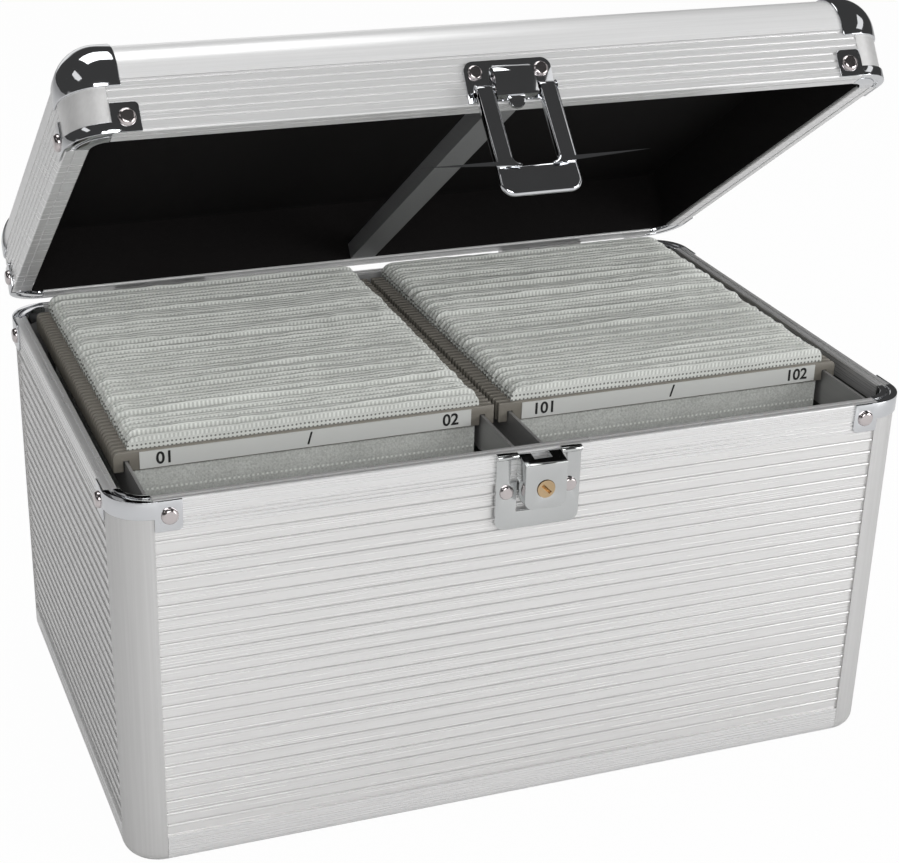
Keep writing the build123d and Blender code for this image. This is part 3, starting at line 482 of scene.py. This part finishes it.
def pocket_sheet(name, middle_x, front_y, columns):
    """One pocket as an upright grid, narrowed to the bag below the bar and rounded at its top corners."""
    deselect()
    bpy.ops.mesh.primitive_grid_add(x_subdivisions=columns, y_subdivisions=len(sheet_levels) - 1, size=2)
    sheet = bpy.context.object
    sheet.name = sheet.data.name = name
    only(sheet)
    bpy.ops.object.mode_set(mode="EDIT")
    bpy.ops.mesh.select_all(action="SELECT")
    bpy.ops.transform.rotate(value=-math.pi / 2, orient_axis="X", center_override=(0, 0, 0))
    bpy.ops.object.mode_set(mode="OBJECT")
    old_levels = sorted({round(v.co.z, 4) for v in sheet.data.vertices})
    new_level = dict(zip(old_levels, sheet_levels))
    for v in sheet.data.vertices:
        z = new_level[round(v.co.z, 4)]
        half = flap_half
        if z < flap_low:
            half = bag_half
        elif z > flap_high - corner:
            rise = (z - (flap_high - corner)) / corner
            half = flap_half - corner * (1 - math.sqrt(max(0.0, 1 - rise * rise)))
        v.co = Vector((middle_x + math.sin(v.co.x * math.pi / 2) * half, front_y, z))
    places = sheet.data.uv_layers.active.data
    for loop in sheet.data.loops:
        v = sheet.data.vertices[loop.vertex_index]
        places[loop.index].uv = [d / mm / sheet_unit for d in (v.co.x - middle_x, flap_high - v.co.z)]
    return sheet


print("rows of points in a sheet:", len(sheet_levels))

# %% [markdown]
# Fifty flaps that stood alike would look like a comb. So every flap gets a habit of its own, from a seeded
# list: how far it leans, how high it stands and how it waves. Neighbours lean nearly alike, as they push on
# each other. A Displace modifier then adds small ripples. All of it fades out towards the bar.

# %% Habits of the flaps
ripple = bpy.data.textures.new("flap_ripple", "CLOUDS")
ripple.noise_scale = 0.006
pitch = 3.17 * mm
wave_reach = 17 * mm


def flap_habits(count, seed):
    """Lean, rise, sideways shift, wave and phase of each flap. Neighbours lean nearly alike."""
    source = random.Random(seed)
    habits = []
    lean = 0.0
    for _ in range(count):
        lean = 0.72 * lean + source.uniform(-0.75, 0.75) * mm
        habits.append((lean, source.uniform(-1.1, 0.25) * mm, source.uniform(-0.4, 0.4) * mm,
                       source.uniform(0.15, 0.50) * mm, source.uniform(0, 2 * math.pi)))
    return habits


def soften(sheet, middle_x, front_y, habits):
    """Lean, lift and wave each flap, most at its top and not at all at its bar."""
    group = sheet.vertex_groups.new(name="free_edge")
    for v in sheet.data.vertices:
        rise = max(0.0, v.co.z - flap_low) / (flap_high - flap_low)
        group.add([v.index], rise, "REPLACE")
        lean, lift, shift, wave, phase = habits[min(len(habits) - 1, round((v.co.y - front_y) / pitch))]
        swing = wave * math.sin((v.co.x - middle_x) / wave_reach + phase)
        v.co += Vector((shift, lean + swing, lift + 0.4 * swing)) * rise
    for direction, strength in (("Y", 0.9 * mm), ("Z", 0.5 * mm)):
        move = sheet.modifiers.new("soften", "DISPLACE")
        move.texture = ripple
        move.texture_coords = "GLOBAL"
        move.direction = direction
        move.strength = strength
        move.vertex_group = "free_edge"
    apply_all(sheet)


print("flaps stand", round(pitch / mm, 2), "mm apart")

# %% [markdown]
# The front pocket of each row moves by itself, so it is a piece of its own, and the 49 others are one piece.
# An Array modifier lays the copies out from front to back, and Solidify gives the sheets their thickness. A
# sheet stands behind its bar, in the middle of the space that the pocket has in the frame.

# %% Pocket rows
sheet_thickness = 0.7 * mm
bar_front, bar_thickness, play, pocket_middle = -65.0 * mm, 1.6 * mm, 0.15 * mm, 0.6 * mm
first_sheet_y = bar_front + bar_thickness + play + pocket_middle


def pocket_row(name, middle_x, front_y, count, columns, seed):
    row = pocket_sheet(name, middle_x, front_y, columns)
    copies = row.modifiers.new("row", "ARRAY")
    copies.count = count
    copies.use_relative_offset = False
    copies.use_constant_offset = True
    copies.constant_offset_displace = (0, pitch, 0)
    apply_all(row)
    soften(row, middle_x, front_y, flap_habits(count, seed))
    wall = row.modifiers.new("wall", "SOLIDIFY")
    wall.thickness = sheet_thickness
    wall.offset = 0
    apply_all(row)
    bpy.ops.object.shade_smooth_by_angle(angle=math.radians(50))
    row.data.materials.append(finishes["pocket_fabric"])
    return row


for column, middle_x, seed in (("left", -row_middle, 4), ("right", row_middle, 11)):
    front = pocket_row(f"pocket_{column}_front", middle_x, first_sheet_y, 1, 80, seed)
    stand_for(front, f"front_sleeve_{column}", "pocket_fabric", f"sleeve_{column}_front_pocket")
    rest = pocket_row(f"pocket_{column}_stack", middle_x, first_sheet_y + pitch, 49, 56, seed + 1)
    stand_for(rest, "base", "pocket_fabric", f"sleeve_{column}_pockets")

# %% [markdown]
# The numbers on the labels are printed. They are text made into a thin mesh that lies on the label. A small
# offset makes the strokes as heavy as printed ones.

# %% Label numbers
label_front, label_height = -65.4 * mm, 156.1 * mm
number_size, stroke_offset, ink_depth = 6.9 * mm, 0.14 * mm, 0.04 * mm
number_shifts = (-57.5 * mm, 0.0, 58.5 * mm)


def number(name, words, x, body):
    deselect()
    bpy.ops.object.text_add(location=(0, 0, 0))
    text = bpy.context.object
    text.data.body = words
    text.data.size = number_size
    text.data.offset = stroke_offset
    text.data.extrude = ink_depth
    text.data.align_x = "CENTER"
    text.data.align_y = "CENTER"
    bpy.ops.object.convert(target="MESH")
    text = bpy.context.object
    text.name = text.data.name = name
    text.rotation_euler = (math.radians(90), 0, 0)
    text.location = (x, label_front - ink_depth, label_height)
    settle(text)
    text.data.materials.clear()
    text.data.materials.append(finishes["number_ink"])
    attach(text, body)
    print(name, "at", round(x, 4))


for column, middle_x, words in (("left", -row_middle, ("01", "/", "02")),
                                ("right", row_middle, ("101", "/", "102"))):
    for place, word, shift in zip(("start", "middle", "end"), words, number_shifts):
        number(f"label_{column}_{place}", word, middle_x + shift, f"front_sleeve_{column}")

# %% [markdown]
# Chromed castings are bent and tumbled, so none of their edges is sharp, and the bright line along each
# edge is what the eye takes for chrome. A copy of each chromed node gets its edges rounded with a Bevel
# modifier. That keeps the casting where the frame has it. The plastic bars of the sleeves are moulded with
# round edges, and are treated in the same way. The outer end of each bar is a tab with a round corner,
# which is beveled first. The latch loop has the widest round, and clamp is off for it. That is a known
# fault: without clamp a thin spike, about 30 mm long, comes out of each side where the arms meet the plate.

# %% Chromed parts and bars with rounded edges
tab_radius = 2.4 * mm
for name, source, body, slot, width in (
        ("chrome_base_corners", "base_rim_corners", "base", "chrome", 0.35 * mm),
        ("chrome_lid_corners", "lid_rim_corners", "lid", "chrome", 0.35 * mm),
        ("chrome_ball_corners", "lid_ball_corners", "lid", "chrome", 0.35 * mm),
        ("chrome_latch_plate", "latch_plate", "lid", "chrome", 0.45 * mm),
        ("chrome_latch_loop", "latch_loop", "latch", "chrome", 1.20 * mm),
        ("chrome_lock_plate", "lock_plate", "base", "chrome", 0.40 * mm),
        ("chrome_lock_body", "lock_body", "base", "chrome", 0.55 * mm),
        ("bars_left", "sleeve_left_bars", "base", "bar_plastic", 0.35 * mm),
        ("bars_right", "sleeve_right_bars", "base", "bar_plastic", 0.35 * mm),
        ("bar_left_front", "sleeve_left_front_bar", "front_sleeve_left", "bar_plastic", 0.35 * mm),
        ("bar_right_front", "sleeve_right_front_bar", "front_sleeve_right", "bar_plastic", 0.35 * mm)):
    tabs = ()
    wide = width > 1 * mm
    if slot == "bar_plastic":
        low_corner, high_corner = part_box(source)
        outer_end = high_corner[0] if "right" in name else low_corner[0]
        tabs = ((high_corner[2], outer_end, tab_radius),)
    piece = rounded_copy(name, source, width, 3 if wide else 2, tabs=tabs, clamp=not wide)
    stand_for(piece, body, slot, source)

# %% [markdown]
# The linings are thin felt glued to the boards. A copy of each gets a very shallow uneven surface, as glued
# cloth has, in the same place as in the frame.

# %% Linings as cloth
weave = bpy.data.textures.new("felt_unevenness", "CLOUDS")
weave.noise_scale = 0.012
for name, source, body, slot in (("felt_body", "base_lining", "base", "grey_lining"),
                                 ("flock_lid", "lid_lining", "lid", "black_lining")):
    piece = rounded_copy(name, source, 0.15 * mm, 1)
    uneven = piece.modifiers.new("uneven", "DISPLACE")
    uneven.texture = weave
    uneven.texture_coords = "GLOBAL"
    uneven.strength = 0.08 * mm
    apply_all(piece)
    stand_for(piece, body, slot, source)

# %% [markdown]
# The studio floor is white and reaches far behind the case. To the camera it is nearly all plain white, and
# the small rest is a real surface, which takes the shadow.

# %% Floor
plain_share = 0.97
deselect()
bpy.ops.mesh.primitive_grid_add(x_subdivisions=8, y_subdivisions=8, size=30, location=(0, 6, 0))
floor = bpy.context.object
floor.name = "studio_floor"
settle(floor)
floor_finish = Finish("floor_finish", Roughness=0.9)
floor_finish.shader.inputs["Base Color"].default_value = (0.80, 0.80, 0.80, 1)
to_camera = floor_finish.node("ShaderNodeLightPath", {}, {}, "Is Camera Ray")
white = floor_finish.node("ShaderNodeEmission", {}, {"Color": (1, 1, 1, 1), "Strength": 1.0})
shaded = Wire(floor_finish, floor_finish.shader.outputs[0])
both = floor_finish.node("ShaderNodeMixShader", {}, {0: to_camera * plain_share, 1: shaded, 2: white})
floor_finish.put(floor_finish.tree.nodes["Material Output"].inputs["Surface"], both)
floor.data.materials.append(floor_finish.material)
print("floor ready, plain white to the camera by", plain_share)

# %% [markdown]
# The world is white to the camera. Mirrors see in it what stands round a photographer's table: a low bright
# sweep behind, low pale walls in front with a dark room above them, and two soft boxes.

# %% World
world = bpy.data.worlds.new("studio_world")
bpy.context.scene.world = world
world.use_nodes = True
room = Graph(world.node_tree)
direction = room.node("ShaderNodeTexCoord", {}, {}, "Generated")
right = room.node("ShaderNodeSeparateXYZ", {}, {"Vector": direction}, "X")
back = room.node("ShaderNodeSeparateXYZ", {}, {"Vector": direction}, "Y")
height = room.node("ShaderNodeSeparateXYZ", {}, {"Vector": direction}, "Z")
sweep = back.ramp(0.10, 0.45) * (1 - height.ramp(0.22, 0.40)) * (right / back).between(-0.30, 0.45)
box_right = (right / height).between(1.1, 1.9) * (back / height).between(-0.9, 0.1) * (height > 0.05)
box_left = (right / height).between(-1.4, -1.0) * (back / height).between(-0.5, 0.2) * (height > 0.05)
low_walls = (1 - height.ramp(0.02, 0.16)) * (1 - back.ramp(-0.1, 0.1)) * (height > -0.1)
seen_in_mirrors = (0.055 + sweep * 0.9 + low_walls * 0.8 + box_right * 1.2 + box_left * 1.2).clamped()
is_camera = room.node("ShaderNodeLightPath", {}, {}, "Is Camera Ray")
is_glossy = room.node("ShaderNodeLightPath", {}, {}, "Is Glossy Ray")
plain_light = 0.45
strength = is_camera + (1 - is_camera) * (is_glossy * seen_in_mirrors + (1 - is_glossy) * plain_light)
background = world.node_tree.nodes["Background"]
background.inputs["Color"].default_value = (1, 1, 1, 1)
room.put(background.inputs["Strength"], strength)
print("world ready, light", plain_light)

# %% [markdown]
# Three large lamps: one above and behind, for the tops and the upper sides of the ribs, one in front and
# high enough to reach in under the lid, and one low at the right, so that the left side of the case stays
# darker than its front.


# %% Lamps
def lamp(name, place, target, width, height, power):
    data = bpy.data.lights.new(name, "AREA")
    data.shape = "RECTANGLE"
    data.size, data.size_y = width, height
    data.energy = power
    made = bpy.data.objects.new(name, data)
    made.location = place
    made.rotation_euler = (Vector(target) - Vector(place)).to_track_quat("-Z", "Y").to_euler()
    bpy.context.collection.objects.link(made)


lamp("lamp_above", (-0.1, 0.45, 1.7), (0, 0, 0.2), 1.2, 0.8, 9)
lamp("lamp_front", (-0.25, -1.8, 1.15), (0, 0, 0.15), 1.0, 0.8, 13)
lamp("lamp_right", (1.4, -1.4, 0.6), (0, 0, 0.12), 0.9, 0.9, 13)
bpy.context.scene.view_settings.view_transform = "Standard"
print("lamps ready")
